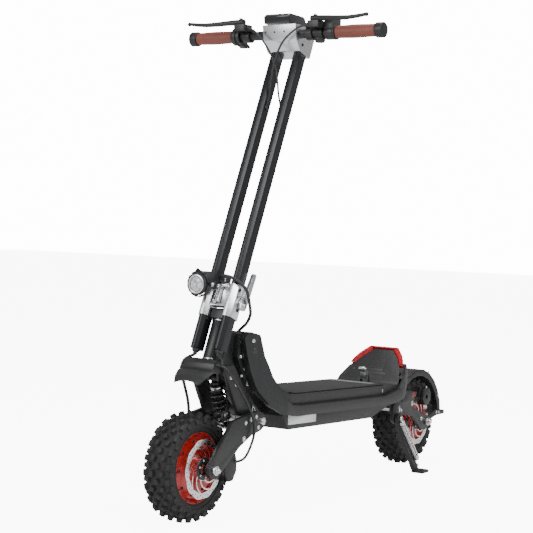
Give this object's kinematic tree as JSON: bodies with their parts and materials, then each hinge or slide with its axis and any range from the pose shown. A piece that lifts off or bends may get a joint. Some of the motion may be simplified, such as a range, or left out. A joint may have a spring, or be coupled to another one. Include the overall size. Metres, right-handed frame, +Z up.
{
  "type": "electric kick scooter",
  "caption": "Folding electric kick scooter with twin stem tubes, sprung swing arms, knobby tyres, flat deck with rear footrest, headlight and kickstand.",
  "frame": {"origin": "on the ground, in the middle of the overall length and width", "axes": "+X ahead, +Y to the rider's left, +Z up"},
  "size_m": [1.3249, 0.56, 1.2101],
  "materials": {
    "black_frame": "satin",
    "grey_tube": "satin",
    "polished_alloy": "polished",
    "bright_steel": "bright",
    "spring_black": "gloss",
    "red_hub": "satin",
    "tyre_rubber": "matt",
    "mat_rubber": "matt",
    "brown_grip": "matt, leather look",
    "red_lens": "translucent red",
    "black_gloss": "gloss",
    "black_alloy": "anodised",
    "black_plastic": "matt",
    "cable_black": "satin"
  },
  "bodies": {
    "frame": {"deck_box": "black_frame", "battery_pack": "black_plastic", "motor_controller": "black_alloy", "deck_cover": "black_plastic", "deck_mat": "mat_rubber", "side_rails": "black_frame", "neck_block": "black_frame", "head_tube": "black_frame", "headset_bearings": "bright_steel", "footrest": "black_plastic", "rear_light": "red_lens", "rear_brackets": "black_frame", "stand_bracket": "black_frame", "rear_pivot": "bright_steel", "rear_shock_body": "black_frame", "rear_spring": "spring_black"},
    "hook": {"stem_hook": "black_alloy"},
    "steering": {"fork_crown": "black_frame", "steerer": "bright_steel", "fork_plates": "black_frame", "front_fender": "black_plastic", "hinge_pin": "bright_steel", "front_pivot": "bright_steel", "front_shock_body": "black_frame", "front_spring": "spring_black", "fork_cables": "cable_black"},
    "front_rod": {"front_shock_rod": "bright_steel"},
    "front_swing": {"front_arm": "black_frame", "front_axle": "bright_steel", "front_caliper": "black_alloy"},
    "front_wheel": {"front_tyre": "tyre_rubber", "front_hub": "red_hub", "front_rotor": "bright_steel"},
    "stem": {"fold_block": "polished_alloy", "stem_tubes": "grey_tube", "bar_clamp": "polished_alloy", "display": "black_gloss", "handlebar": "black_alloy", "grips": "brown_grip", "bar_ends": "black_alloy", "brake_perches": "black_alloy", "throttle_body": "black_plastic", "switch_pod": "black_plastic", "headlight_bracket": "black_alloy", "stem_cables": "cable_black"},
    "fold_cam": {"fold_lever": "polished_alloy"},
    "brake_left": {"left_lever": "black_alloy"},
    "brake_right": {"right_lever": "black_alloy"},
    "throttle": {"throttle_paddle": "black_plastic"},
    "horn": {"horn_button": "black_plastic"},
    "lamp": {"headlight": "black_alloy"},
    "rear_swing": {"rear_arm": "black_frame", "rear_axle": "bright_steel", "rear_caliper": "black_alloy", "rear_fender": "black_plastic"},
    "rear_rod": {"rear_shock_rod": "bright_steel"},
    "rear_wheel": {"rear_tyre": "tyre_rubber", "rear_hub": "red_hub", "rear_rotor": "bright_steel"},
    "stand": {"stand_leg": "black_frame"}
  },
  "joints": [
    {"name": "steering_turn", "type": "hinge", "parent": "frame", "child": "steering", "pos_m": [0.424, 0, 0.42], "axis": [-0.3987, 0, 0.9171], "range_deg": [-35, 35]},
    {"name": "stem_fold", "type": "hinge", "parent": "steering", "child": "stem", "pos_m": [0.40793, 0, 0.46699], "axis": [0, -1, 0], "range_deg": [0, 76]},
    {"name": "fold_lever_swing", "type": "hinge", "parent": "stem", "child": "fold_cam", "pos_m": [0.4051, 0.052, 0.49356], "axis": [0, -1, 0], "range_deg": [0, 30]},
    {"name": "front_suspension", "type": "hinge", "parent": "steering", "child": "front_swing", "pos_m": [0.347, 0, 0.22], "axis": [0, -1, 0], "range_deg": [0, 12], "stiffness_Nm_per_rad": 180, "springref_deg": -20.05},
    {"name": "front_shock_slide", "type": "slide", "parent": "steering", "child": "front_rod", "axis": [0.3137, 0, 0.9495], "range_m": [0, 0.0105], "deforming": ["front_spring"]},
    {"name": "front_wheel_spin", "type": "hinge", "parent": "front_swing", "child": "front_wheel", "pos_m": [0.535, 0, 0.1275], "axis": [0, 1, 0], "continuous": true},
    {"name": "left_brake_pull", "type": "hinge", "parent": "stem", "child": "brake_left", "pos_m": [0.20874, 0.108, 1.18226], "axis": [0, 0, 1], "range_deg": [0, 14], "stiffness_Nm_per_rad": 1.2, "springref_deg": -17.19},
    {"name": "right_brake_pull", "type": "hinge", "parent": "stem", "child": "brake_right", "pos_m": [0.20874, -0.108, 1.18226], "axis": [0, 0, -1], "range_deg": [0, 14], "stiffness_Nm_per_rad": 1.2, "springref_deg": -17.19},
    {"name": "throttle_press", "type": "hinge", "parent": "stem", "child": "throttle", "pos_m": [0.17474, -0.141, 1.15126], "axis": [0, -1, 0], "range_deg": [0, 35], "stiffness_Nm_per_rad": 0.12, "springref_deg": -17.19},
    {"name": "horn_press", "type": "slide", "parent": "stem", "child": "horn", "axis": [1, 0, 0], "range_m": [0, 0.002], "stiffness_N_per_m": 400, "springref_m": -0.003},
    {"name": "lamp_tilt", "type": "hinge", "parent": "stem", "child": "lamp", "pos_m": [0.44936, -0.034, 0.54225], "axis": [0, 1, 0], "range_deg": [-15, 15]},
    {"name": "hook_swing", "type": "hinge", "parent": "frame", "child": "hook", "pos_m": [-0.279, 0, 0.268], "axis": [0, 1, 0], "range_deg": [0, 60]},
    {"name": "rear_suspension", "type": "hinge", "parent": "frame", "child": "rear_swing", "pos_m": [-0.325, 0, 0.182], "axis": [0, 1, 0], "range_deg": [0, 10], "stiffness_Nm_per_rad": 260, "springref_deg": -20.05},
    {"name": "rear_shock_slide", "type": "slide", "parent": "frame", "child": "rear_rod", "axis": [0.1211, 0, 0.9926], "range_m": [0, 0.0095], "deforming": ["rear_spring"]},
    {"name": "rear_wheel_spin", "type": "hinge", "parent": "rear_swing", "child": "rear_wheel", "pos_m": [-0.515, 0, 0.1275], "axis": [0, 1, 0], "continuous": true},
    {"name": "stand_swing", "type": "hinge", "parent": "frame", "child": "stand", "pos_m": [-0.292, 0.103, 0.162], "axis": [0, 1, 0], "range_deg": [0, 55]}
  ],
  "couplings": [
    {"joint": "front_shock_slide", "follows": "front_suspension", "m_per_rad": 0.0463},
    {"joint": "rear_shock_slide", "follows": "rear_suspension", "m_per_rad": 0.0502}
  ]
}
